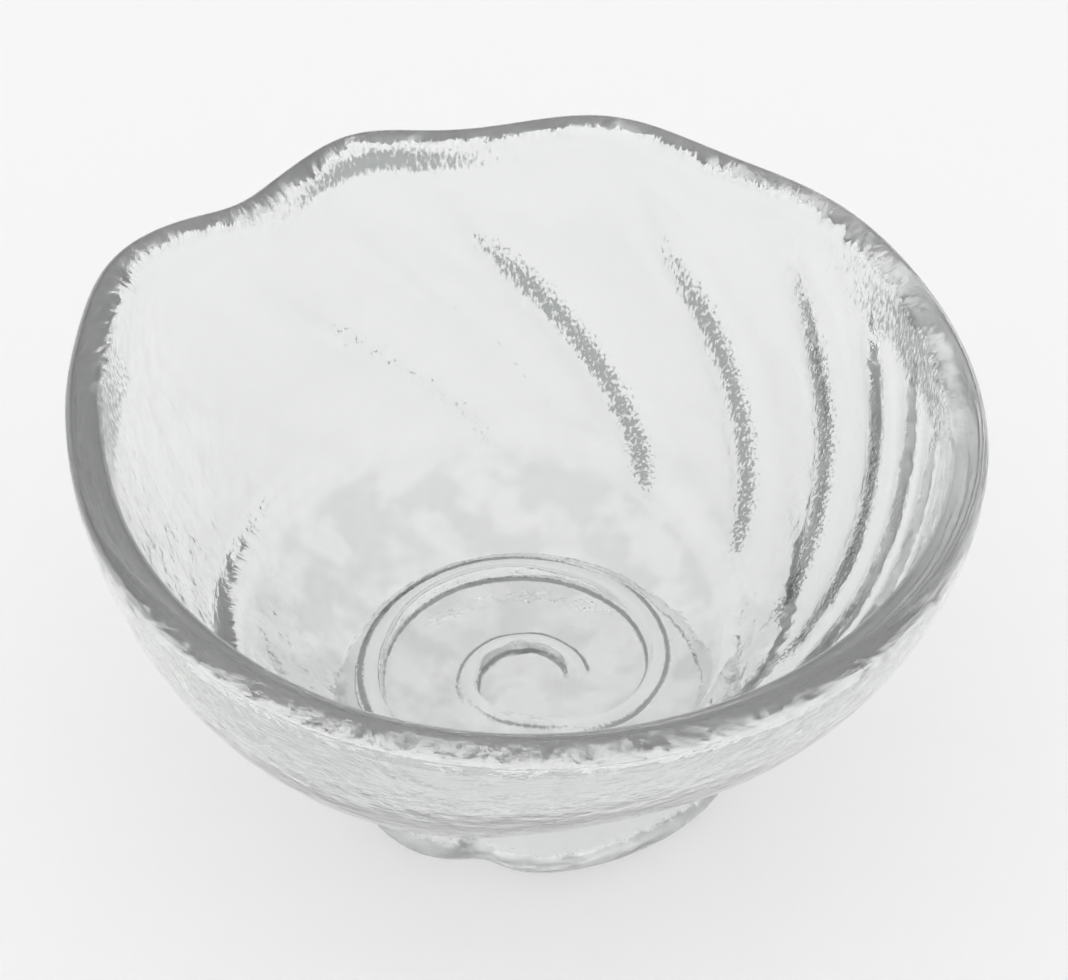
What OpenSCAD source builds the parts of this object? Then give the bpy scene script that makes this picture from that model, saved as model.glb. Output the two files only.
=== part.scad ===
// Shell bowl cast in one piece of clear glass.
// The inside floor carries a spiral ridge like the whorls of a sea snail. Growth creases lean up
// the wall to a thick rounded rim, which dips in where the last whorl ends.
// The origin is on the table under the middle of the bowl. +Z is up and -Y is the front.

/* [Bowl] */
// Width across the rim
bowl_d = 210; // [190:1:240]
// Height of the rim above the table
bowl_h = 106; // [90:1:125]
// Thickness of the glass at the rim
wall = 9; // [7:0.5:11]
// Height of the inside floor above the table
floor_t = 15; // [12:0.5:19]
// Fullness of the inside curve, where 1 is a cone and 2 is an ellipse
inside_fullness = 1.95; // [1.8:0.05:2.05]
// Fullness of the outside curve
outside_fullness = 1.58; // [1.5:0.02:1.64]
// How much leaner the inside curve is at the front
inside_lean = 0.35; // [0.2:0.05:0.35]
// How much leaner the outside curve is at the front
outside_lean = 0.28; // [0.2:0.02:0.34]

/* [Foot] */
// Width of the foot where it stands on the table
foot_d = 90; // [80:1:96]
// Height of the foot up to the crease that the wall springs from
foot_h = 11; // [9:0.5:13]
// How far the side of the foot swells out
foot_swell = 4; // [2:0.5:5]
// Depth of the waist between the two lobes of the foot
foot_waist = 3; // [0:0.5:4]

/* [Spiral] */
// Distance from the inside of the rim to where the spiral runs out
spiral_margin = 14; // [12:0.5:20]
// Height of the ridge on the floor
ridge_h = 2.4; // [1:0.1:3]
// Half the width of the ridge on the floor
ridge_w = 2.7; // [2:0.1:3.2]
// Half the width of the ridge where it climbs the wall
ridge_wide_w = 4.5; // [3.5:0.1:5.5]
// Height of the lobes between the turns
lobe_h = 0.9; // [0:0.1:1.5]

/* [Growth creases] */
// Depth of the deepest crease between two panels of the wall
crease_depth = 3; // [1:0.1:3.5]
// Angle that a crease leans between the floor and the rim
crease_lean = 66; // [50:1:75]

/* [Rim] */
// How far the largest lobe of the rim stands out
lobe_out = 7.5; // [4:0.5:9]
// How far the largest lobe of the rim stands up
lobe_up = 2.6; // [0:0.2:4]
// Angle around the rim where the last whorl ends in a notch
notch_at = 132; // [128:1:136]
// Depth of the outside crease that climbs from the foot
suture_depth = 2.4; // [0:0.1:3]

/* [Hidden] */

columns = 96;
column_step = 360 / columns;
rim_r = bowl_d / 2;
inside_r = rim_r - wall;
lip_r = wall / 2;
lip_z = bowl_h - lip_r;

// The spiral is laid out by quarter turns, as shares of the radius where it runs out. The first
// turn is only the blunt middle, and the ridge starts at the end of it.
spiral_end_r = inside_r - spiral_margin;
spiral_shares = [0.02, 0.05, 0.09, 0.12, 0.145, 0.17, 0.175, 0.17, 0.375, 0.42, 0.465, 0.525,
                 0.60, 0.78, 0.87, 0.91, 0.945, 0.965, 0.985, 1];
quarter = 90;
ridge_start = 360;
ridge_tip = 24;
wall_ridge_start = 1040;
wall_ridge_full = 1120;
ridge_fade_start = 1260;
ridge_fade_end = 1340;
ridge_share = 0.3;
ridge_shoulder = 0.55;
ridge_shoulder_h = 0.8;
lobes_per_turn = 8;
lobe_start = 180;
strip_turns = 3.75;
strip_columns = strip_turns * columns;

// Angles at the rim where the creases end, going clockwise seen from above, and their depths as
// shares of the deepest.
crease_angles = [200, 170, 142, 123, 107, 77, 52, 35, 22, 11, 1, -9];
crease_shares = [0.2, 0.3, 0.6, 0.5, 1, 1, 1, 0.8, 0.6, 0.45, 0.3, 0.2];
crease_bend = 1.4;

// A crease has a sharp core in a wider valley, which is steeper on the clockwise side.
crease_core = 0.65;
crease_core_w = 3.6;
crease_valley_w = 9;
crease_valley_skew = 0.5;

// The creases start a little above the floor and grow shallow towards the rim.
crease_foot = 0.2;
crease_foot_fade = 0.2;
crease_rim = 0.7;
crease_rim_fade = 0.3;
crease_rim_loss = 0.85;

// The wall is made of rings from this share of its height, and of the spiral strip below it.
wall_start = 0.56;
body_r0 = foot_d * 0.22;
front = -90;
back = 90;

function smooth(t) =
    let (c = min(1, max(0, t)))
    c * c * (3 - 2 * c);
function bump(x, w) = exp(-pow(x / w, 2));
function turn_diff(a, b) = (((a - b) % 360) + 540) % 360 - 180;

// Radius of the spiral at an angle counted from its middle, through the quarter-turn points.
function share_at(i) = spiral_shares[min(len(spiral_shares) - 1, max(0, i))];
function spiral_r(phi) =
    let (
        q = phi / quarter,
        i = floor(q),
        t = q - i,
        p0 = share_at(i - 1),
        p1 = share_at(i),
        p2 = share_at(i + 1),
        p3 = share_at(i + 2)
    )
    spiral_end_r * 0.5 * (2 * p1 + (p2 - p0) * t + (2 * p0 - 5 * p1 + 4 * p2 - p3) * t * t
        + (3 * p1 - p0 - 3 * p2 + p3) * t * t * t);

function ridge_gain(phi) =
    smooth((phi - ridge_start) / ridge_tip)
    * (1 - smooth((phi - ridge_fade_start) / (ridge_fade_end - ridge_fade_start)));
function ridge_half(phi) =
    min(ridge_share * spiral_r(phi),
        ridge_w + (ridge_wide_w - ridge_w)
            * smooth((phi - wall_ridge_start) / (wall_ridge_full - wall_ridge_start)));

// The wall is leaner around the front.
front_at = 284;
front_width = 42;
function inside_n(a) = inside_fullness - inside_lean * bump(turn_diff(a, front_at), front_width);
function outside_n(a) = outside_fullness - outside_lean * bump(turn_diff(a, front_at), front_width);

// Lobes of the rim, beside the notch: angle from the notch, shares of the largest lobe's way out
// and way up, and half width as an angle.
rim_lobes = [[-87, 0.2, 0.4, 16], [-53, 0.5, 1, 13], [-18, 0.55, 0.95, 10], [1, -0.2, -0.25, 6],
             [19, 1, 1, 13], [37, 0.35, 0.2, 13], [90, -0.3, -0.8, 26]];
function total(list, i = 0) = i >= len(list) ? 0 : list[i] + total(list, i + 1);
function rim_share(a, k) =
    total([for (lobe = rim_lobes) lobe[k] * bump(turn_diff(a, notch_at + lobe[0]), lobe[3])]);
function rim_offset(a) = lobe_out * rim_share(a, 1);
function rim_rise(a) = lobe_up * rim_share(a, 2);

// Lean of the creases below the rim at a share f of the wall's height.
function lean(f) = crease_lean * pow(1 - min(1, max(0, f)), crease_bend);

// Panels of the wall bulge out between the creases. The value is 0 on a panel's back and
// negative in a crease.
function crease_at(i, a) =
    let (d = turn_diff(a, crease_angles[i]))
    crease_shares[i] * (crease_core * bump(d, crease_core_w)
        + (1 - crease_core) * bump(min(d, 0) + crease_valley_skew * max(d, 0), crease_valley_w));
function crease_sum(a, i = 0) =
    i >= len(crease_angles) ? 0 : max(crease_at(i, a), crease_sum(a, i + 1));
function crease_relief(a, f) =
    let (
        foot_fade = smooth((f - crease_foot) / crease_foot_fade),
        rim_fade = 1 - crease_rim_loss * smooth((f - crease_rim) / crease_rim_fade)
    )
    -crease_depth * foot_fade * rim_fade * crease_sum(a + lean(f));

// Outside crease that climbs from the front of the foot towards the right and fades out there,
// with the wall swelling below it. It heads for the notch, which it would meet at its full span.
suture_span = notch_at - front;
suture_rise = 1.55;
suture_fade = 40;
suture_end = 80;
suture_end_fade = 50;
suture_rim = 0.8;
swell_share = 0.8;
swell_w = bowl_h * 0.13;
groove_below_w = bowl_h * 0.03;
groove_above_w = bowl_h * 0.066;
function suture_f(s) = pow(min(1, max(0, s / suture_span)), suture_rise);
function suture_relief(a, f) =
    let (
        s = ((a - front) % 360 + 360) % 360,
        on = smooth(s / suture_fade) * (1 - smooth((s - suture_end) / suture_end_fade)),
        d = (f - suture_f(s)) * bowl_h,
        swell = d < 0 ? swell_share * exp(d / swell_w) : 0,
        groove = d < 0 ? swell_share * exp(d / groove_below_w) : exp(-d / groove_above_w)
    )
    on * suture_depth * (swell - groove) * (1 - smooth((f - suture_rim) / (1 - suture_rim)));

function tilt(f) = 90 * sqrt(min(1, max(0, f)));
function polar(r, a, z) = [r * cos(a), r * sin(a), z];

// Inside surface at radius r, pushed along its normal by relief.
function inside_f(r, a) =
    let (n = inside_n(a))
    1 - pow(1 - pow(min(1, r / inside_r), n), 1 / n);
function inside_point(r, a, relief) =
    let (f = inside_f(r, a))
    polar(r + relief * sin(tilt(f)), a, floor_t + f * (lip_z - floor_t) - relief * cos(tilt(f)));

// The floor is one strip that winds out along the spiral. Its rows run from one turn's ridge to
// the next turn's. A row gives its radius and its relief, which is negative on a ridge.
strip_rows = 6;
function strip_row(phi, i) =
    let (
        r0 = spiral_r(phi),
        r1 = spiral_r(phi + 360),
        w0 = min(ridge_half(phi), ridge_share * (r1 - r0)),
        w1 = min(ridge_half(phi + 360), ridge_share * (r1 - r0)),
        h0 = ridge_h * ridge_gain(phi),
        h1 = ridge_h * ridge_gain(phi + 360),
        lobe = lobe_h * (1 + sin(phi * lobes_per_turn)) / 2 * smooth(phi / lobe_start)
    )
    i == 0 ? [r0, -h0] :
    i == 1 ? [r0 + ridge_shoulder * w0, -ridge_shoulder_h * h0] :
    i == 2 ? [r0 + w0, 0] :
    i == 3 ? [(r0 + w0 + r1 - w1) / 2, lobe] :
    i == 4 ? [r1 - w1, 0] :
             [r1 - ridge_shoulder * w1, -ridge_shoulder_h * h1];

// The strip's columns lean as the creases do, so each point moves along its row by the lean.
function strip_point(phi, i) =
    let (
        shift = lean(wall_start) - lean(min(wall_start, inside_f(strip_row(phi, i)[0], back))),
        row = strip_row(phi + shift, i),
        a = phi + shift
    )
    inside_point(row[0], a, row[1] + crease_relief(a, inside_f(row[0], a)));
function strip_column(phi) = [for (i = [0 : strip_rows - 1]) strip_point(phi, i)];

strip_points = [
    for (j = [0 : strip_columns]) each strip_column(j * column_step),
    for (j = [strip_columns + 1 : strip_columns + columns]) strip_point(j * column_step, 0)
];
strip_inner_count = (strip_columns + 1) * strip_rows;
// A vertex of the strip by column and row, where the last row is the next turn's first.
function strip_id(j, i) =
    i == strip_rows ? strip_id(j + columns, 0) :
    j <= strip_columns ? j * strip_rows + i :
                         strip_inner_count + j - strip_columns - 1;

// Angle of a column of the wall at height share f.
function column_angle(j, f) = j * column_step + lean(wall_start) - lean(max(f, wall_start));

// How much of the rim's lobes shows at height share f of the wall.
lift_start = 0.45;
lift_bend = 1.5;
function lifted(f) = pow(smooth((f - lift_start) / (1 - lift_start)), lift_bend);

function inside_wall_point(j, f) =
    let (
        a = column_angle(j, f),
        n = inside_n(a),
        r = inside_r * pow(1 - pow(1 - f, n), 1 / n)
    )
    polar(r + rim_offset(a) * lifted(f) + crease_relief(a, f) * sin(tilt(f)), a,
          floor_t + f * (lip_z - floor_t) + rim_rise(a) * lifted(f)
          - crease_relief(a, f) * cos(tilt(f)));

function lip_point(j, turn) =
    let (
        a = column_angle(j, 1),
        r = rim_r - lip_r + rim_offset(a)
    )
    polar(r + lip_r * cos(turn), a, lip_z + rim_rise(a) + lip_r * sin(turn));

function outside_wall_point(j, f) =
    let (
        a = column_angle(j, f),
        n = outside_n(a),
        r = body_r0 + (rim_r - body_r0) * pow(1 - pow(1 - f, n), 1 / n),
        relief = crease_relief(a, f) + suture_relief(a, f)
    )
    polar(r + rim_offset(a) * lifted(f) + relief * sin(tilt(f)), a,
          f * lip_z + rim_rise(a) * lifted(f) - relief * cos(tilt(f)));

// Waist and lobes of the foot: angle, share of the waist's depth, and half width as an angle.
foot_lobes = [[256, -1, 9], [232, 0.5, 14], [340, 1, 30]];
function foot_r(a) =
    foot_d / 2
    + foot_waist * total([for (lobe = foot_lobes) lobe[1] * bump(turn_diff(a, lobe[0]), lobe[2])]);
function foot_point(j, z, out) =
    let (a = column_angle(j, 0))
    polar(foot_r(a) + out, a, z);

// Rings of the foot: share of its height, and way out as a share of the swell. They go on below
// the table, where the foot is cut flat.
foot_profile = [[0.72, 1], [0.4, 0.8], [0.14, 0.35], [0.02, -0.15]];
below = foot_h / 10;
below_in = foot_swell * -0.55;
foot_f = foot_h / lip_z;
inside_steps = 9;
outside_steps = 12;
outside_bend = 0.9;
lip_steps = 5;
ring_rows = [
    for (k = [0 : inside_steps]) [0, wall_start + (1 - wall_start) * k / inside_steps],
    for (k = [1 : lip_steps - 1]) [1, 180 - 180 * k / lip_steps],
    for (k = [0 : outside_steps]) [2, 1 - (1 - foot_f) * pow(k / outside_steps, outside_bend)],
    for (ring = foot_profile) [3, ring[0] * foot_h, ring[1] * foot_swell],
    [3, -below, below_in]
];
function ring_point(row, j) =
    row[0] == 0 ? inside_wall_point(j, row[1]) :
    row[0] == 1 ? lip_point(j, row[1]) :
    row[0] == 2 ? outside_wall_point(j, row[1]) :
                  foot_point(j, row[1], row[2]);
ring_points = [for (row = ring_rows) for (j = [0 : columns - 1]) ring_point(row, j)];
ring_start = len(strip_points);
function ring_id(k, j) = ring_start + k * columns + (j % columns);

top_id = ring_start + len(ring_points);
bottom_id = top_id + 1;
all_points = concat(strip_points, ring_points, [[0, 0, floor_t], [0, 0, -below]]);

strip_faces = [
    for (j = [0 : strip_columns - 1]) for (i = [0 : strip_rows - 1])
        each [[strip_id(j, i), strip_id(j, i + 1), strip_id(j + 1, i + 1)],
              [strip_id(j, i), strip_id(j + 1, i + 1), strip_id(j + 1, i)]]
];
// The middle is a fan, closed along the first column of the strip.
middle_faces = [
    for (j = [0 : columns - 2]) [top_id, strip_id(j, 0), strip_id(j + 1, 0)],
    [top_id, strip_id(columns - 1, 0), strip_id(0, 0)],
    for (i = [0 : strip_rows - 1]) [strip_id(columns - 1, 0), strip_id(0, i + 1), strip_id(0, i)]
];
// The outermost turn meets the first ring, and the end column of the strip is fanned to it.
outer_j = strip_columns;
function last_turn(j) = strip_id(outer_j + j, 0);
end_column = strip_columns % columns;
edge_faces = [
    for (j = [1 : columns - 1])
        each [[last_turn(j), ring_id(0, end_column + j), ring_id(0, end_column + j + 1)],
              [last_turn(j), ring_id(0, end_column + j + 1), last_turn(j + 1)]],
    for (i = [0 : strip_rows - 1]) [last_turn(1), strip_id(outer_j, i), strip_id(outer_j, i + 1)],
    [last_turn(1), strip_id(outer_j, strip_rows), ring_id(0, end_column)],
    [last_turn(1), ring_id(0, end_column), ring_id(0, end_column + 1)]
];
ring_faces = [
    for (k = [0 : len(ring_rows) - 2]) for (j = [0 : columns - 1])
        each [[ring_id(k, j), ring_id(k + 1, j), ring_id(k + 1, j + 1)],
              [ring_id(k, j), ring_id(k + 1, j + 1), ring_id(k, j + 1)]]
];
bottom_faces = [
    for (j = [0 : columns - 1])
        [bottom_id, ring_id(len(ring_rows) - 1, j + 1), ring_id(len(ring_rows) - 1, j)]
];

all_faces = concat(strip_faces, middle_faces, edge_faces, ring_faces, bottom_faces);

// The foot is cut flat where it stands on the table.
glass_colour = [0.86, 0.91, 0.9];
module bowl() {
    color(glass_colour)
    difference() {
        polyhedron(all_points, [for (f = all_faces) [f[2], f[1], f[0]]]);
        translate([-rim_r, -rim_r, -2 * below])
            cube([bowl_d, bowl_d, 2 * below]);
    }
}

bowl();
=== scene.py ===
import math

import bpy
from bpy.props import FloatProperty, FloatVectorProperty, IntProperty, PointerProperty
from bpy.types import Operator, Panel, PropertyGroup
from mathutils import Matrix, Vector


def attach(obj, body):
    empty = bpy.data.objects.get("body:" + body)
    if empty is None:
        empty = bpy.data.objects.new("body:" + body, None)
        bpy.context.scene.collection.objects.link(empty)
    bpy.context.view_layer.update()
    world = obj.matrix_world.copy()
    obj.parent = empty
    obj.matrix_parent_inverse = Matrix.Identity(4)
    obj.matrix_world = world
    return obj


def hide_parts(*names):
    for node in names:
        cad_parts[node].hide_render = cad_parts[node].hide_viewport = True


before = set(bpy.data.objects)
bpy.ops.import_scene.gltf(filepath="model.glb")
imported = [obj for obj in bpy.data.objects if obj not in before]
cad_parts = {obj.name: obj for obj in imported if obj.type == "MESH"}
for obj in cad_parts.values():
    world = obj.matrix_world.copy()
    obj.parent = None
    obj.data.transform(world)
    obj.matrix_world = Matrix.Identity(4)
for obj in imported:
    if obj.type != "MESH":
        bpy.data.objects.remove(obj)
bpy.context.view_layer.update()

bl_info = {
    "name": "Shell bowl",
    "version": (1, 0, 0),
    "blender": (4, 5, 0),
    "location": "3D View > Sidebar > Shell bowl",
    "description": "Builds a cast-glass shell bowl around its solid, with its stage and camera",
    "category": "Object",
}

MM = 0.001
TURN = 2 * math.pi
QUARTER = 90

# Points of the mesh that are nearer to each other than the first distance become one, and
# all points that are nearer to the bowl's axis than the second become its middle.
MERGE_M = 0.0000005
CENTRE_M = 0.00005

# The bowl's form follows the solid's own rules. Angles are in degrees, counted from +X
# towards +Y, and lengths are in millimetres until the last step. A height share is 0 at the
# inside floor, or at the table for the outside, and 1 where the lip starts. A fade is written
# as where it starts and how long it is.
INSIDE_FULLNESS, INSIDE_LEAN = 1.95, 0.35
OUTSIDE_FULLNESS, OUTSIDE_LEAN = 1.58, 0.28
FRONT_AT, FRONT_WIDTH = 284, 42
BODY_SHARE = 0.22
JUST_INSIDE_RIM = 0.9999

# Radius of the spiral at each quarter turn, as a share of the radius where it runs out. The
# list starts this many quarter turns before angle 0.
SPIRAL_SHARES = (0, 0, 0, 0, 0, 0.055, 0.09, 0.12, 0.145, 0.17, 0.175, 0.17, 0.375, 0.42, 0.465,
                 0.525, 0.60, 0.78, 0.87, 0.91, 0.945, 0.965, 0.985, 1, 1, 1, 1, 1)
QUARTERS_BEFORE = 4
RIDGE_TIP, RIDGE_END = (360, 24), (1260, 80)
WALL_RIDGE = (1040, 80)
RIDGE_SHARE = 0.3
LEAST_HALF_WIDTH = 0.2
RIDGE_ROUNDING = 0.75
FLANK_WIDTH = 0.3
FLANK_END, FLANK_LOSS = (1000, 80), 0.8
LOBE_HEIGHT = 0.9
LOBES_PER_TURN = 8
LOBE_TIP, LOBE_END = 180, (1100, 200)
OPEN_FLOOR_END = (1150, 200)

# Each growth crease is the angle where it reaches the rim and its share of the deepest. It has
# a sharp core in a wider valley, which is steeper on one side.
CREASES = ((200, 0.2), (170, 0.3), (142, 0.6), (123, 0.5), (107, 1), (77, 1), (52, 1),
           (35, 0.8), (22, 0.6), (11, 0.45), (1, 0.3), (-9, 0.2))
CREASE_CORE, CREASE_CORE_WIDTH = 0.65, 3.6
CREASE_VALLEY_WIDTH, CREASE_SKEW = 9, 0.5
CREASE_BEND = 1.4
CREASE_FOOT, CREASE_RIM, CREASE_RIM_LOSS = (0.2, 0.2), (0.7, 0.3), 0.85
# Where the creases' grain and painted shade come in above the foot and fade at the rim.
GRAIN_AND_SHADE_FOOT, GRAIN_AND_SHADE_RIM, GRAIN_AND_SHADE_RIM_LOSS = (0.13, 0.12), (0.6, 0.35), 0.8

# The outside crease starts at the front of the foot and climbs to the right.
SUTURE_TIP, SUTURE_END = 40, (80, 50)
SUTURE_CLIMB = 1.55
SUTURE_SWELL, SWELL_WIDTH = 0.8, 14
GROOVE_UNDER, GROOVE_OVER = 3, 7
SUTURE_TOP = (0.8, 0.2)

# Each lobe of the rim is its angle from the notch, how far it stands out and up as shares of
# the largest, and its width.
RIM_LOBES = ((-87, 0.2, 0.4, 16), (-53, 0.5, 1, 13), (-18, 0.55, 0.95, 10), (1, -0.2, -0.25, 6),
             (19, 1, 1, 13), (37, 0.35, 0.2, 13), (90, -0.3, -0.8, 26))
LIFT, LIFT_POWER = (0.45, 0.55), 1.5

# Each lobe of the foot is its angle, its share of the waist's depth and its width.
FOOT_LOBES = ((256, -1, 9), (232, 0.5, 14), (340, 1, 30))
FOOT_EDGE = 2.5
FOOT_MIDDLE = 0.45
FOOT_ROUNDING = 0.6
FOOT_JOIN = 0.2

# Each ragged band of painted shade under the rim, standing in for the dark that the thick lip
# refracts, is its angle, its width, its fade by height and its strength.
PAINTED_RIM_SHADES = ((112, 18, (0.93, 0.06), 1), (18, 24, (0.8, 0.1), 0.8), (176, 18, (0.78, 0.1), 0.8))

# The mesh: the floor is a strip that winds out with the spiral, and the rest is rings. The
# strip's rows gather at the ridges, and the columns lean with the creases above a height share.
STRIP_TURNS = 5.75
STRIP_ROWS = 16
STRIP_GATHER = 0.45
RING_SECTIONS = (("inside", 34), ("lip", 18), ("outside", 48), ("foot", 18), ("base", 12))
OUTSIDE_GATHER = 0.9
LEAN_FROM = 0.56

# Each noise in the glass is its scale and its number of finer layers. Each patch of painted
# shade is the value where it starts, how sharp its edge is and how dark it gets.
GLASS_IOR = 1.5
CLEAR_SHARE = 0.9
GRAIN, FLOOR_SHADE_NOISE, RIPPLE = (1300, 3), (80, 3), (160, 4)
GRAIN_STRETCH = (1, 1, 0.35)
GRAIN_DEPTH, FLANK_GRAIN = 1.5, 0.4
# The streaks in the creases are painted shade, standing in for the dark that the creases refract,
# with real grain in their bump.
STREAK, STREAK_PAINTED_SHADE = (0.68, 4), 0.9
# Painted shade along the ridge's flanks, standing in for the dark that they refract.
FLANK, FLANK_PAINTED_SHADE = (0.5, 4), 0.95
# Painted shade in the bands under the rim.
RIM_SHADE_PATCH, RIM_PAINTED_SHADE = (0.5, 3), 0.85
# Painted shade on the open floor, standing in for the table's shadow seen through the foot,
# mottled by noise, with a least share everywhere on the open floor.
FLOOR_SHADE_PATCH, FLOOR_PAINTED_SHADE, LEAST_FLOOR_SHADE = (0.42, 6), 0.25, 0.1
# Painted shade across each crease's wider valley, for the soft shading between the streaks.
VALLEY_PAINTED_SHADE = 0.14
RIPPLE_EVERYWHERE, SKIN_RIPPLE, STREAK_GRAIN = 0.25, 1.2, 0.25
RELIEF_STRENGTH, RELIEF_M = 0.35, 0.002

# Brightness of the studio by height, from level with the table to overhead, as shares.
SKY_LEVELS = ((0, 0.08), (0.35, 0.5), (1, 1))
SKY_STRENGTH = 1.39

# The floor lies a little below the foot, so that the two faces never share a place.
FLOOR_HALF_M = 4
FLOOR_Z_M = -0.0004
SENSOR_MM = 36
VIEW_END_M = 50
LIGHT_BOUNCES = 14
NOISE_THRESHOLD = 0.1
LEAST_SAMPLES = 16


class BowlSizes(PropertyGroup):
    rim_width: FloatProperty(
        name="Rim width", description="Width across the rim, in millimetres",
        default=210, min=190, max=240)
    rim_height: FloatProperty(
        name="Rim height", description="Height of the rim above the table, in millimetres",
        default=106, min=90, max=125)
    wall: FloatProperty(
        name="Wall", description="Thickness of the glass at the rim, in millimetres",
        default=9, min=7, max=11)
    floor_height: FloatProperty(
        name="Floor height", description="Height of the inside floor, in millimetres",
        default=15, min=12, max=19)
    foot_width: FloatProperty(
        name="Foot width", description="Width of the foot on the table, in millimetres",
        default=90, min=80, max=96)
    foot_height: FloatProperty(
        name="Foot height", description="Height of the foot, in millimetres",
        default=11, min=9, max=13)
    foot_swell: FloatProperty(
        name="Foot swell", description="How far the foot's side swells out, in millimetres",
        default=4, min=2, max=5)
    foot_waist: FloatProperty(
        name="Foot waist", description="Depth of the waist between the foot's lobes",
        default=3, min=0, max=4)
    spiral_margin: FloatProperty(
        name="Spiral margin", description="From the inside of the rim to where the spiral ends",
        default=14, min=12, max=20)
    ridge_height: FloatProperty(
        name="Ridge height", description="Height of the spiral ridge, in millimetres",
        default=2.4, min=1, max=3)
    ridge_half: FloatProperty(
        name="Ridge half width", description="Half the ridge's width on the floor",
        default=2.7, min=2, max=3.2)
    ridge_wide: FloatProperty(
        name="Wall ridge half width", description="Half the ridge's width on the wall",
        default=4.5, min=3.5, max=5.5)
    crease_depth: FloatProperty(
        name="Crease depth", description="Depth of the deepest growth crease, in millimetres",
        default=3, min=1, max=3.5)
    crease_lean: FloatProperty(
        name="Crease lean", description="Angle a crease leans from the floor to the rim",
        default=66, min=50, max=75)
    lobe_out: FloatProperty(
        name="Lobe out", description="How far the largest lobe of the rim stands out",
        default=7.5, min=4, max=9)
    lobe_up: FloatProperty(
        name="Lobe up", description="How far the largest lobe of the rim stands up",
        default=2.6, min=0, max=4)
    notch_at: FloatProperty(
        name="Notch", description="Angle of the notch around the rim",
        default=132, min=128, max=136)
    suture_depth: FloatProperty(
        name="Suture depth", description="Depth of the crease round the outside",
        default=2.4, min=0, max=3)
    columns: IntProperty(
        name="Columns", description="Mesh columns in one turn", default=420, min=96, max=480)


class GlassFinish(PropertyGroup):
    tint: FloatVectorProperty(
        name="Tint", description="Colour of the glass", subtype="COLOR", size=3,
        default=(0.985, 0.995, 0.99), min=0, max=1)
    # The shade is painted shade: it stands in for the dark that the glass refracts in its creases,
    # at its ridge flanks, under its rim and on its floor.
    shade: FloatVectorProperty(
        name="Shade", description="Colour of the rough skin in the creases", subtype="COLOR",
        size=3, default=(0.13, 0.15, 0.145), min=0, max=1)
    roughness: FloatProperty(
        name="Roughness", description="Blur of the polished skin", default=0.02, min=0, max=1)


class StageSetup(PropertyGroup):
    floor_colour: FloatVectorProperty(
        name="Floor", description="Colour of the floor", subtype="COLOR", size=3,
        default=(0.92, 0.92, 0.92), min=0, max=1)
    floor_glow: FloatProperty(
        name="Floor glow", description="Share of the floor's look that no shadow darkens",
        subtype="FACTOR", default=0.55, min=0, max=1)
    camera_elevation: FloatProperty(
        name="Elevation", description="Angle that the camera looks down at",
        subtype="ANGLE", default=math.radians(44.3), min=0, max=math.pi / 2)
    camera_distance: FloatProperty(
        name="Distance", description="From the camera to the point it looks at",
        subtype="DISTANCE", default=1.0, min=0.3, max=5)
    camera_lens: FloatProperty(
        name="Lens", description="Focal length of the camera", unit="CAMERA",
        default=145.2, min=20, max=300)
    look_at: FloatVectorProperty(
        name="Look at", description="Point that the camera looks at", subtype="TRANSLATION",
        size=3, default=(0.00115, 0, 0.082))


class Field:
    """A number that a node tree works out at each point, written as plain arithmetic."""

    def __init__(self, tree, socket):
        self.tree = tree
        self.socket = socket

    def math(self, operation, *others):
        made = self.tree.nodes.new("ShaderNodeMath")
        made.operation = operation
        for place, value in enumerate((self, *others)):
            joined(self.tree, value, made.inputs[place])
        return Field(self.tree, made.outputs[0])

    def __add__(self, other):
        return self.math("ADD", other)

    def __mul__(self, other):
        return self.math("MULTIPLY", other)

    def __sub__(self, other):
        return self.math("SUBTRACT", other)

    def __rsub__(self, other):
        return (self * -1) + other

    def __truediv__(self, other):
        return self.math("DIVIDE", other)

    def __rtruediv__(self, other):
        return self ** -1.0 * other

    def __pow__(self, other):
        return self.math("POWER", other)

    def __neg__(self):
        return self * -1

    __radd__ = __add__
    __rmul__ = __mul__

    def low(self, other):
        return self.math("MINIMUM", other)

    def high(self, other):
        return self.math("MAXIMUM", other)

    def clamped(self):
        return self.high(0.0).low(1.0)

    def sin(self):
        return (self * math.radians(1)).math("SINE")

    def cos(self):
        return (self * math.radians(1)).math("COSINE")

    def exp(self):
        return self.math("EXPONENT")

    def floor(self):
        return self.math("FLOOR")

    def above(self, other):
        return self.math("GREATER_THAN", other)


def joined(tree, value, socket):
    """Feeds a socket from a field or a plain number."""
    if isinstance(value, Field):
        tree.links.new(value.socket, socket)
    else:
        socket.default_value = value


def highest(fields):
    """The highest of several fields at each point."""
    top, *others = fields
    for other in others:
        top = top.high(other)
    return top


def shared(title, *names):
    """Turns a rule into a node group of its own, which is built once and then used again."""
    def wrap(rule):
        def use(*values):
            tree = next(value.tree for value in values if isinstance(value, Field))
            group = bpy.data.node_groups.get(title)
            if group is None:
                group = bpy.data.node_groups.new(title, "GeometryNodeTree")
                for name in names:
                    group.interface.new_socket(name, in_out="INPUT", socket_type="NodeSocketFloat")
                group.interface.new_socket("Value", in_out="OUTPUT", socket_type="NodeSocketFloat")
                source = group.nodes.new("NodeGroupInput")
                result = rule(*(Field(group, source.outputs[name]) for name in names))
                output = group.nodes.new("NodeGroupOutput")
                group.links.new(result.socket, output.inputs[0])
            node = tree.nodes.new("GeometryNodeGroup")
            node.node_tree = group
            for socket, value in zip(node.inputs, values):
                joined(tree, value, socket)
            return Field(tree, node.outputs[0])
        return use
    return wrap


@shared("Smooth step", "Share")
def smooth(t):
    """A step from 0 to 1 without a kink at either end."""
    c = t.clamped()
    return c * c * (3 - 2 * c)


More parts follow.
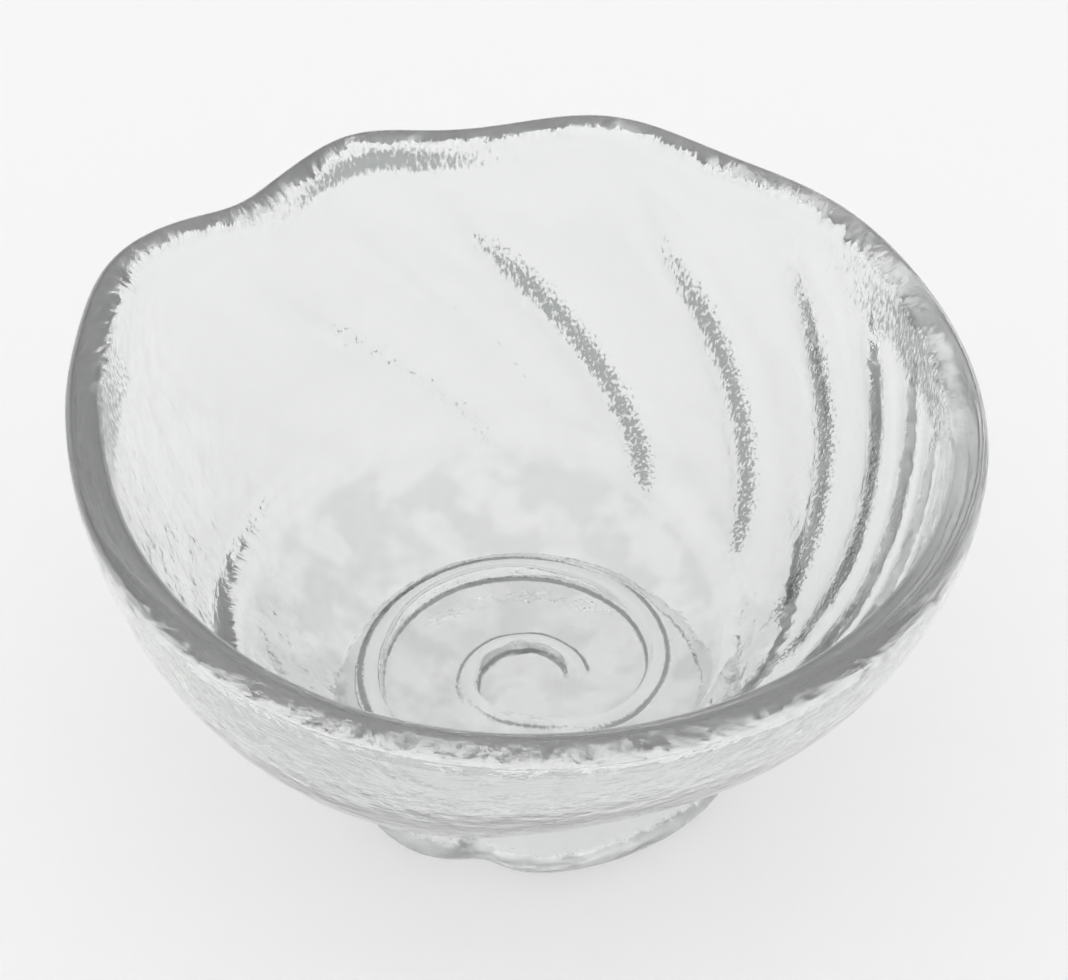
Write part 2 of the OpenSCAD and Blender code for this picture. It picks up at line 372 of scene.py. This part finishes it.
def rising(x, start, length):
    """A fade from 0 at its start to 1 at its end."""
    return smooth((x - start) / length)


@shared("Bump", "Distance", "Width")
def bump(x, width):
    """A soft rise that is 1 at its middle and fades on both sides."""
    return (-((x / width) ** 2.0)).exp()


@shared("Turn difference", "Angle", "Other angle")
def turn_difference(a, b):
    """The shorter way round from one angle to another."""
    return (a - b).math("WRAP", 180.0, -180.0)


@shared("Mix", "First", "Second", "Share")
def mix(a, b, share):
    """A share of the way from one value to another."""
    return a + (b - a) * share


def spiral_share_at(index):
    """The quarter-turn share with this index, which gets a half so that it can't round down."""
    pick = index.tree.nodes.new("GeometryNodeIndexSwitch")
    pick.data_type = "FLOAT"
    while len(pick.index_switch_items) < len(SPIRAL_SHARES):
        pick.index_switch_items.new()
    for place, share in enumerate(SPIRAL_SHARES):
        pick.inputs[place + 1].default_value = share
    inside = index.high(0.0).low(len(SPIRAL_SHARES) - 1.0)
    index.tree.links.new((inside + 0.5).socket, pick.inputs[0])
    return Field(index.tree, pick.outputs[0])


@shared("Spiral share", "Angle")
def spiral_share(phi):
    """Radius of the spiral as a share of its end, by a cubic through the quarter turns."""
    q = phi / QUARTER + QUARTERS_BEFORE
    i = q.floor()
    t = q - i
    p0, p1, p2, p3 = (spiral_share_at(i + step) for step in (-1, 0, 1, 2))
    square = 2 * p0 - 5 * p1 + 4 * p2 - p3
    cube = 3 * p1 - p0 - 3 * p2 + p3
    return (0.5 * (2 * p1 + (p2 - p0) * t + square * t * t + cube * t * t * t)).clamped()


@shared("Crease", "Angle", "At")
def crease(a, at):
    """Depth of one crease across its width, as a share of its deepest."""
    d = turn_difference(a, at)
    skewed = d.low(0.0) + d.high(0.0) * CREASE_SKEW
    return CREASE_CORE * bump(d, CREASE_CORE_WIDTH) \
        + (1 - CREASE_CORE) * bump(skewed, CREASE_VALLEY_WIDTH)


@shared("Creases", "Angle")
def creases(a):
    """Depth of the deepest crease at an angle, as a share of the deepest of all."""
    return highest(share * crease(a, at) for at, share in CREASES)


@shared("Lobe", "Angle", "At", "Width")
def lobe(a, at, width):
    """A soft rise around one angle."""
    return bump(turn_difference(a, at), width)


class BowlForm:
    """The rules of the bowl's form, worked out at each point of a node tree."""

    def __init__(self, inputs):
        self.inputs = inputs
        self.rim_r = inputs["Rim width"] / 2
        self.inside_r = self.rim_r - inputs["Wall"]
        self.lip_r = inputs["Wall"] / 2
        self.lip_z = inputs["Rim height"] - self.lip_r
        self.spiral_end = self.inside_r - inputs["Spiral margin"]
        self.body_start = inputs["Foot width"] * BODY_SHARE

    def inside_n(self, a):
        """Fullness of the inside curve, which is leaner at the front."""
        return INSIDE_FULLNESS - INSIDE_LEAN * lobe(a, FRONT_AT, FRONT_WIDTH)

    def outside_n(self, a):
        """Fullness of the outside curve."""
        return OUTSIDE_FULLNESS - OUTSIDE_LEAN * lobe(a, FRONT_AT, FRONT_WIDTH)

    def rim_shares(self, a):
        """How far the rim's lobes stand out and up at an angle."""
        out, up = 0, 0
        for at, way_out, way_up, width in RIM_LOBES:
            share = lobe(a, self.inputs["Notch"] + at, width)
            out = share * way_out + out
            up = share * way_up + up
        return out * self.inputs["Lobe out"], up * self.inputs["Lobe up"]

    def lean(self, f):
        """Angle between a crease at a height share and its end at the rim."""
        return self.inputs["Crease lean"] * (1 - f.clamped()) ** CREASE_BEND

    def faded_creases(self, a, f, foot, rim, loss):
        """Creases that come in above the foot's fade and lose a share in the rim's fade."""
        fade = rising(f, *foot) * (1 - loss * rising(f, *rim))
        return fade * creases(a + self.lean(f))

    def crease_share(self, a, f):
        """Depth of the creases."""
        return self.faded_creases(a, f, CREASE_FOOT, CREASE_RIM, CREASE_RIM_LOSS)

    def crease_grain_and_shade(self, a, f):
        """Where a crease's grain and painted shade show, which is lower down the wall than its
        depth.
        """
        return self.faded_creases(a, f, GRAIN_AND_SHADE_FOOT, GRAIN_AND_SHADE_RIM, GRAIN_AND_SHADE_RIM_LOSS)

    def suture_relief(self, a, f):
        """The outside crease: a groove with a swell under it."""
        s = (a + QUARTER).math("WRAP", 360.0, 0.0)
        span = self.inputs["Notch"] + QUARTER
        there = smooth(s / SUTURE_TIP) * (1 - rising(s, *SUTURE_END))
        d = (f - (s / span).clamped() ** SUTURE_CLIMB) * self.inputs["Rim height"]
        below = 1 - d.above(0.0)
        swell = SUTURE_SWELL * below * (d.low(0.0) / SWELL_WIDTH).exp()
        under = SUTURE_SWELL * (d.low(0.0) / GROOVE_UNDER).exp()
        groove = mix(1, under, below) * (-d.high(0.0) / GROOVE_OVER).exp()
        return there * self.inputs["Suture depth"] * (swell - groove)

    def moved(self, r, z, relief, f):
        """A point of the wall, moved by its relief square to the wall's slope."""
        tilt = QUARTER * f.clamped().math("SQRT")
        return r + relief * tilt.sin(), z - relief * tilt.cos()

    def rise_of(self, r, n):
        """Height share of the inside curve at a radius."""
        return 1 - (1 - (r / self.inside_r).low(JUST_INSIDE_RIM) ** n) ** (1 / n)

    def inside_height(self, f):
        """Height of the inside floor or wall above the table."""
        floor_z = self.inputs["Floor height"]
        return floor_z + f * (self.lip_z - floor_z)

    def inside_point(self, a, f, relief):
        """A point of the inside wall."""
        n = self.inside_n(a)
        r = self.inside_r * (1 - (1 - f) ** n) ** (1 / n)
        return self.moved(r, self.inside_height(f), relief, f)

    def lip_point(self, share):
        """A point of the round lip, from the inside over to the outside."""
        turn = 180 - 180 * share
        return (self.rim_r - self.lip_r + self.lip_r * turn.cos(),
                self.lip_z + self.lip_r * turn.sin())

    def outside_point(self, a, f, cut):
        """A point of the outside wall, with its growth creases and the outside crease."""
        m = self.outside_n(a)
        relief = cut + self.suture_relief(a, f) * (1 - rising(f, *SUTURE_TOP))
        r = self.body_start + (self.rim_r - self.body_start) * (1 - (1 - f) ** m) ** (1 / m)
        return self.moved(r, f * self.lip_z, relief, f)

    def foot_radius(self, a):
        """Radius of the foot on the table, with its lobes and the waist between them."""
        r = self.inputs["Foot width"] / 2
        for at, share, width in FOOT_LOBES:
            r = r + share * self.inputs["Foot waist"] * lobe(a, at, width)
        return r

    def foot_side(self, foot_r, share):
        """A point of the foot's swollen side, from its top to the table."""
        turn = 90 - 180 * ((share - FOOT_JOIN) / (1 - FOOT_JOIN)).clamped()
        swell = self.inputs["Foot swell"] + FOOT_EDGE
        return (foot_r - FOOT_EDGE + swell * turn.cos().high(0.0) ** FOOT_ROUNDING,
                FOOT_MIDDLE * self.inputs["Foot height"] * (1 + turn.sin()))


def ridge_profile(form, phi, distance, room):
    """Height of the ridge, and how near its flank is, at a distance from its middle line."""
    gain = rising(phi, *RIDGE_TIP) * (1 - rising(phi, *RIDGE_END))
    wide = mix(form.inputs["Ridge half width"], form.inputs["Wall ridge half width"],
               rising(phi, *WALL_RIDGE))
    half = wide.low(RIDGE_SHARE * form.spiral_end * spiral_share(phi)).low(RIDGE_SHARE * room)
    x = distance / half.high(LEAST_HALF_WIDTH)
    inner = x.clamped()
    height = form.inputs["Ridge height"] * gain * (1 - inner * inner) ** RIDGE_ROUNDING
    flank = gain * bump(x - 1, FLANK_WIDTH) * (1 - FLANK_LOSS * rising(phi, *FLANK_END))
    return height, flank


def floor_lobes(phi, v):
    """Height of the lobes between two turns of the ridge, at a share of the way across."""
    around = 0.5 + 0.5 * (phi * LOBES_PER_TURN).sin()
    return LOBE_HEIGHT * around * (v * 180).sin() * smooth(phi / LOBE_TIP) \
        * (1 - rising(phi, *LOBE_END))


def position_parts(tree):
    """The place of each point as fields, by axis name."""
    position = tree.nodes.new("GeometryNodeInputPosition")
    split = tree.nodes.new("ShaderNodeSeparateXYZ")
    tree.links.new(position.outputs[0], split.inputs[0])
    return {axis: Field(tree, split.outputs[axis]) for axis in "XYZ"}


def grid_field(tree, columns, rows):
    """A grid of columns by rows, with its column share and its row number as fields."""
    grid = tree.nodes.new("GeometryNodeMeshGrid")
    grid.inputs["Size X"].default_value = 1
    grid.inputs["Size Y"].default_value = 1
    tree.links.new(columns.socket, grid.inputs["Vertices X"])
    grid.inputs["Vertices Y"].default_value = rows
    place = position_parts(tree)
    across = place["X"] + 0.5
    row = ((place["Y"] + 0.5) * (rows - 1)).math("ROUND")
    return grid.outputs["Mesh"], across, row


def placed(tree, mesh, r, a, z, marks):
    """Moves each point to radius r, angle a and height z in millimetres, and stores its marks."""
    combine = tree.nodes.new("ShaderNodeCombineXYZ")
    for place, value in enumerate((r * a.cos(), r * a.sin(), z)):
        tree.links.new((value * MM).socket, combine.inputs[place])
    for name, value in marks.items():
        store = tree.nodes.new("GeometryNodeStoreNamedAttribute")
        store.data_type = "FLOAT"
        store.domain = "POINT"
        store.inputs["Name"].default_value = name
        tree.links.new(mesh, store.inputs["Geometry"])
        joined(tree, value, store.inputs["Value"])
        mesh = store.outputs["Geometry"]
    move = tree.nodes.new("GeometryNodeSetPosition")
    tree.links.new(mesh, move.inputs["Geometry"])
    tree.links.new(combine.outputs[0], move.inputs["Position"])
    return move.outputs["Geometry"]


def floor_strip(tree, form, columns):
    """The inside floor as one strip that winds out along the spiral."""
    mesh, across, row = grid_field(tree, columns * STRIP_TURNS + 1, STRIP_ROWS)
    phi = across * (STRIP_TURNS * 360) - 360
    r0 = spiral_share(phi) * form.spiral_end
    r1 = spiral_share(phi + 360) * form.spiral_end
    v = row / (STRIP_ROWS - 1)
    v = v - (v * 360).sin() * (STRIP_GATHER / TURN)
    r = mix(r0, r1, v)
    f = form.rise_of(r, form.inside_n(phi))
    inner, inner_flank = ridge_profile(form, phi, r - r0, r1 - r0)
    outer, outer_flank = ridge_profile(form, phi + 360, r1 - r, r1 - r0)
    ridge = inner.high(outer)
    relief = floor_lobes(phi, v) - ridge \
        - form.inputs["Crease depth"] * form.crease_share(phi, f)
    open_floor = 1 - rising(phi + v * 360, *OPEN_FLOOR_END)
    # The marks steer where the glass gets painted shade; the floor mark also steers its ripple.
    marks = {"crease": form.crease_grain_and_shade(phi, f), "flank": inner_flank.high(outer_flank),
             "floor": open_floor * (1 - ridge / form.inputs["Ridge height"]),
             "skin": 0, "rim_shade": 0}
    r, z = form.moved(r, form.inside_height(f), relief, f)
    return placed(tree, mesh, r, phi, z, marks)


def ring_shares(row):
    """How far a row is through each run of rings, and whether it has come to it."""
    share, reached = {}, {}
    start = 0
    for name, count in RING_SECTIONS:
        share[name] = ((row - start) / count).clamped()
        reached[name] = row.above(start + 0.5)
        start += count
    return share, reached


def blended(first, second, share):
    """A point between two points, each given by its radius and height."""
    return tuple(mix(one, other, share) for one, other in zip(first, second))


def wall_rings(tree, form, columns):
    """The inside wall, the lip, the outside, the foot and the base as one run of rings."""
    rows = sum(count for _, count in RING_SECTIONS) + 1
    mesh, across, row = grid_field(tree, columns + 1, rows)
    share, reached = ring_shares(row)

    column_a = across * 360
    first_f = form.rise_of(form.spiral_end, form.inside_n(column_a))
    foot_f = form.inputs["Foot height"] / form.lip_z
    inside_f = mix(first_f, 1, share["inside"])
    outside_f = 1 - (1 - foot_f) * share["outside"] ** OUTSIDE_GATHER
    f = mix(inside_f, outside_f, reached["outside"])
    a = column_a + form.lean(first_f.high(LEAN_FROM)) - form.lean(f.high(LEAN_FROM))

    cut = -form.inputs["Crease depth"] * form.crease_share(a, f)
    outside = form.outside_point(a, f, cut)
    wall = blended(form.inside_point(a, f, cut), form.lip_point(share["lip"]), reached["lip"])
    r, z = blended(wall, outside, reached["outside"])
    way_out, way_up = form.rim_shares(a)
    lifted = rising(f, *LIFT) ** LIFT_POWER * reached["inside"]
    raised = (r + way_out * lifted, z + way_up * lifted)

    foot_r = form.foot_radius(a)
    side = blended(outside, form.foot_side(foot_r, share["foot"]),
                   smooth(share["foot"] / FOOT_JOIN))
    base_r = (foot_r - FOOT_EDGE) * (1 - share["base"])
    r, z = blended(blended(raised, side, reached["foot"]), (base_r, 0), reached["base"])

    # Painted shade in ragged bands under the rim, standing in for the dark that the thick lip
    # refracts.
    rim_shade = highest(lobe(a, at, width) * rising(f, *fade) * strength
                   for at, width, fade, strength in PAINTED_RIM_SHADES)
    # The marks steer where the glass gets painted shade; the skin mark only steers its ripple.
    marks = {"crease": form.crease_grain_and_shade(a, f) * (1 - reached["lip"]), "flank": 0, "floor": 0,
             "skin": reached["outside"] * (1 - reached["base"]),
             "rim_shade": rim_shade * (1 - smooth(share["lip"] * 2))}
    return placed(tree, mesh, r, a, z, marks)


def group_input(tree, name, default, kind="NodeSocketFloat"):
    """Adds a named input with its default."""
    socket = tree.interface.new_socket(name, in_out="INPUT", socket_type=kind)
    socket.default_value = default


def near_axis(tree):
    """True for the points that lie so near the bowl's axis that they are its middle."""
    place = position_parts(tree)
    x, y = place["X"], place["Y"]
    return 1 - (x * x + y * y).math("SQRT").above(CENTRE_M)


def bowl_tree(sizes):
    """The node tree that makes the whole bowl, with one named input for each size."""
    tree = bpy.data.node_groups.new("Shell bowl form", "GeometryNodeTree")
    names = []
    for key, prop in sizes.bl_rna.properties.items():
        if key not in ("rna_type", "name", "columns"):
            names.append(prop.name)
            group_input(tree, prop.name, getattr(sizes, key))
    group_input(tree, "Columns", sizes.columns, "NodeSocketInt")
    tree.interface.new_socket("Glass", in_out="INPUT", socket_type="NodeSocketMaterial")
    tree.interface.new_socket("Bowl", in_out="OUTPUT", socket_type="NodeSocketGeometry")
    source = tree.nodes.new("NodeGroupInput")
    inputs = {name: Field(tree, source.outputs[name]) for name in names}
    columns = Field(tree, source.outputs["Columns"])
    form = BowlForm(inputs)
    join = tree.nodes.new("GeometryNodeJoinGeometry")
    tree.links.new(floor_strip(tree, form, columns), join.inputs[0])
    tree.links.new(wall_rings(tree, form, columns), join.inputs[0])
    merge = tree.nodes.new("GeometryNodeMergeByDistance")
    merge.inputs["Distance"].default_value = MERGE_M
    middle = tree.nodes.new("GeometryNodeMergeByDistance")
    middle.inputs["Distance"].default_value = 2 * CENTRE_M
    tree.links.new(near_axis(tree).socket, middle.inputs["Selection"])
    flip = tree.nodes.new("GeometryNodeFlipFaces")
    shade = tree.nodes.new("GeometryNodeSetShadeSmooth")
    realize = tree.nodes.new("GeometryNodeRealizeInstances")
    material = tree.nodes.new("GeometryNodeSetMaterial")
    output = tree.nodes.new("NodeGroupOutput")
    chain = (join, merge, middle, flip, shade, realize, material, output)
    for before, after in zip(chain, chain[1:]):
        tree.links.new(before.outputs[0], after.inputs[0])
    tree.links.new(source.outputs["Glass"], material.inputs["Material"])
    return tree


def grown_mesh(name, tree, material):
    """Evaluates a node tree on an empty mesh and returns the plain result."""
    host = bpy.data.objects.new(name + "_source", bpy.data.meshes.new(name + "_source"))
    bpy.context.scene.collection.objects.link(host)
    modifier = host.modifiers.new("Form", "NODES")
    modifier.node_group = tree
    for item in tree.interface.items_tree:
        if item.name == "Glass":
            modifier[item.identifier] = material
    graph = bpy.context.evaluated_depsgraph_get()
    mesh = bpy.data.meshes.new_from_object(host.evaluated_get(graph))
    host.modifiers.remove(modifier)
    bpy.data.objects.remove(host)
    mesh.name = name
    obj = bpy.data.objects.new(name, mesh)
    bpy.context.scene.collection.objects.link(obj)
    return obj


def mark_field(tree, name):
    """A mark that is stored on the mesh."""
    node = tree.nodes.new("ShaderNodeAttribute")
    node.attribute_name = name
    return Field(tree, node.outputs["Fac"])


def noise_field(tree, place, scale, detail):
    """Soft noise that is fixed to the bowl."""
    noise = tree.nodes.new("ShaderNodeTexNoise")
    noise.inputs["Scale"].default_value = scale
    noise.inputs["Detail"].default_value = detail
    tree.links.new(place, noise.inputs["Vector"])
    return Field(tree, noise.outputs["Fac"])


def patch(value, start, sharpness):
    """Painted shade, and in the creases grain too, that shows where a value is above its start."""
    return ((value - start) * sharpness).clamped()


def glass_material(finish):
    """Clear glass with painted grey shade in its creases, at its ridge flanks, under its rim and
    on its floor, grain in its creases and a rippled outside.
    """
    made = bpy.data.materials.new("Clear cast glass")
    made.use_nodes = True
    tree = made.node_tree
    nodes, links = tree.nodes, tree.links
    shader = nodes["Principled BSDF"]
    shader.inputs["Roughness"].default_value = finish.roughness
    shader.inputs["IOR"].default_value = GLASS_IOR
    shader.inputs["Transmission Weight"].default_value = CLEAR_SHARE
    place = nodes.new("ShaderNodeTexCoord").outputs["Object"]
    stretch = nodes.new("ShaderNodeMapping")
    stretch.inputs["Scale"].default_value = GRAIN_STRETCH
    links.new(place, stretch.inputs["Vector"])
    grain = noise_field(tree, stretch.outputs[0], *GRAIN)
    floor_shade_noise = noise_field(tree, place, *FLOOR_SHADE_NOISE)
    ripple = noise_field(tree, place, *RIPPLE)
    mark = {name: mark_field(tree, name) for name in ("crease", "flank", "floor", "skin", "rim_shade")}

    # Painted shade: dark patches standing in for the dark that the glass refracts; the streaks
    # also carry grain in the bump.
    speckle = (grain - 0.5) * GRAIN_DEPTH
    streak = patch(mark["crease"] + speckle, *STREAK)
    flank = patch(mark["flank"] + speckle * FLANK_GRAIN, *FLANK)
    rim_shade = patch(mark["rim_shade"] + speckle, *RIM_SHADE_PATCH)
    floor_shade = (patch(floor_shade_noise, *FLOOR_SHADE_PATCH) * (1 - LEAST_FLOOR_SHADE) + LEAST_FLOOR_SHADE) * mark["floor"]
    shade = highest((streak * STREAK_PAINTED_SHADE, flank * FLANK_PAINTED_SHADE, rim_shade * RIM_PAINTED_SHADE,
                     floor_shade * FLOOR_PAINTED_SHADE, mark["crease"] * VALLEY_PAINTED_SHADE))
    dark = nodes.new("ShaderNodeMix")
    dark.data_type = "RGBA"
    dark.inputs["A"].default_value = (*finish.tint, 1)
    dark.inputs["B"].default_value = (*finish.shade, 1)
    links.new(shade.socket, dark.inputs["Factor"])
    links.new(dark.outputs["Result"], shader.inputs["Base Color"])

    rippled = mark["floor"].high(mark["skin"] * SKIN_RIPPLE)
    height = ripple * (RIPPLE_EVERYWHERE + (1 - RIPPLE_EVERYWHERE) * rippled) \
        + grain * streak * STREAK_GRAIN
    relief = nodes.new("ShaderNodeBump")
    relief.inputs["Strength"].default_value = RELIEF_STRENGTH
    relief.inputs["Distance"].default_value = RELIEF_M
    links.new(height.socket, relief.inputs["Height"])
    links.new(relief.outputs["Normal"], shader.inputs["Normal"])
    return made


class SHELLBOWL_OT_bowl(Operator):
    """Make the cast-glass bowl in place of its solid"""

    bl_idname = "shellbowl.bowl"
    bl_label = "Glass bowl"

    def execute(self, context):
        scene = context.scene
        glass = glass_material(scene.glass_finish)
        bowl = grown_mesh("bowl_glass", bowl_tree(scene.bowl_sizes), glass)
        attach(bowl, "root")
        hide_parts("bowl")
        return {"FINISHED"}


def floor_material(colour, glow):
    """Pale floor whose shadows are lifted by a share of plain glow, where they are looked at."""
    made = bpy.data.materials.new("Pale floor")
    made.use_nodes = True
    tree = made.node_tree
    shader = tree.nodes["Principled BSDF"]
    shader.inputs["Base Color"].default_value = (*colour, 1)
    shader.inputs["Roughness"].default_value = 1
    shader.inputs["Specular IOR Level"].default_value = 0
    plain = tree.nodes.new("ShaderNodeEmission")
    plain.inputs["Color"].default_value = (*colour, 1)
    path = tree.nodes.new("ShaderNodeLightPath")
    looked_at = highest(Field(tree, path.outputs[kind]) for kind in (
        "Is Camera Ray", "Is Glossy Ray", "Is Transmission Ray"))
    blend = tree.nodes.new("ShaderNodeMixShader")
    tree.links.new((looked_at * glow).socket, blend.inputs["Fac"])
    tree.links.new(shader.outputs[0], blend.inputs[1])
    tree.links.new(plain.outputs[0], blend.inputs[2])
    tree.links.new(blend.outputs[0], tree.nodes["Material Output"].inputs["Surface"])
    return made


def studio_world():
    """Soft light that grows from the horizon to overhead."""
    world = bpy.data.worlds.new("Soft studio")
    world.use_nodes = True
    nodes, links = world.node_tree.nodes, world.node_tree.links
    sky = nodes["Background"]
    place = nodes.new("ShaderNodeTexCoord")
    split = nodes.new("ShaderNodeSeparateXYZ")
    ramp = nodes.new("ShaderNodeValToRGB")
    for height, _ in SKY_LEVELS[1:-1]:
        ramp.color_ramp.elements.new(height)
    for stop, (_, level) in zip(ramp.color_ramp.elements, SKY_LEVELS):
        stop.color = (level, level, level, 1)
    sky.inputs["Strength"].default_value = SKY_STRENGTH
    links.new(place.outputs["Generated"], split.inputs[0])
    links.new(split.outputs["Z"], ramp.inputs["Fac"])
    links.new(ramp.outputs["Color"], sky.inputs["Color"])
    return world


class SHELLBOWL_OT_stage(Operator):
    """Lay the floor, light the studio and set the camera"""

    bl_idname = "shellbowl.stage"
    bl_label = "Stage and camera"

    def execute(self, context):
        scene = context.scene
        setup = scene.bowl_stage
        mesh = bpy.data.meshes.new("floor")
        half, z = FLOOR_HALF_M, FLOOR_Z_M
        corners = [(-half, -half, z), (half, -half, z), (half, half, z), (-half, half, z)]
        mesh.from_pydata(corners, [], [(0, 1, 2, 3)])
        ground = bpy.data.objects.new("floor", mesh)
        mesh.materials.append(floor_material(setup.floor_colour, setup.floor_glow))
        scene.collection.objects.link(ground)
        scene.world = studio_world()

        elevation = setup.camera_elevation
        back = Vector((0, -math.cos(elevation), math.sin(elevation)))
        data = bpy.data.cameras.new("photo_camera")
        data.lens = setup.camera_lens
        data.sensor_width = SENSOR_MM
        data.clip_end = VIEW_END_M
        camera = bpy.data.objects.new("photo_camera", data)
        camera.location = Vector(setup.look_at) + back * setup.camera_distance
        camera.rotation_euler = (math.pi / 2 - elevation, 0, 0)
        scene.collection.objects.link(camera)
        scene.camera = camera
        scene.cycles.max_bounces = LIGHT_BOUNCES
        scene.cycles.transmission_bounces = LIGHT_BOUNCES
        scene.cycles.adaptive_threshold = NOISE_THRESHOLD
        scene.cycles.adaptive_min_samples = LEAST_SAMPLES
        scene.view_settings.view_transform = "Standard"
        return {"FINISHED"}


class SHELLBOWL_PT_panel(Panel):
    """Sizes, finish and steps of the shell bowl"""

    bl_idname = "SHELLBOWL_PT_panel"
    bl_label = "Shell bowl"
    bl_space_type = "VIEW_3D"
    bl_region_type = "UI"
    bl_category = "Shell bowl"

    def draw(self, context):
        layout = self.layout
        for group in ("bowl_sizes", "glass_finish", "bowl_stage"):
            held = getattr(context.scene, group)
            for key in held.bl_rna.properties.keys():
                if key not in ("rna_type", "name"):
                    layout.prop(held, key)
        layout.operator("shellbowl.bowl")
        layout.operator("shellbowl.stage")


CLASSES = (BowlSizes, GlassFinish, StageSetup, SHELLBOWL_OT_bowl, SHELLBOWL_OT_stage,
           SHELLBOWL_PT_panel)


def register():
    for each in CLASSES:
        bpy.utils.register_class(each)
    bpy.types.Scene.bowl_sizes = PointerProperty(type=BowlSizes)
    bpy.types.Scene.glass_finish = PointerProperty(type=GlassFinish)
    bpy.types.Scene.bowl_stage = PointerProperty(type=StageSetup)


def unregister():
    del bpy.types.Scene.bowl_stage
    del bpy.types.Scene.glass_finish
    del bpy.types.Scene.bowl_sizes
    for each in reversed(CLASSES):
        bpy.utils.unregister_class(each)


def main():
    register()
    bpy.ops.shellbowl.bowl()
    bpy.ops.shellbowl.stage()


if __name__ == "__main__":
    main()
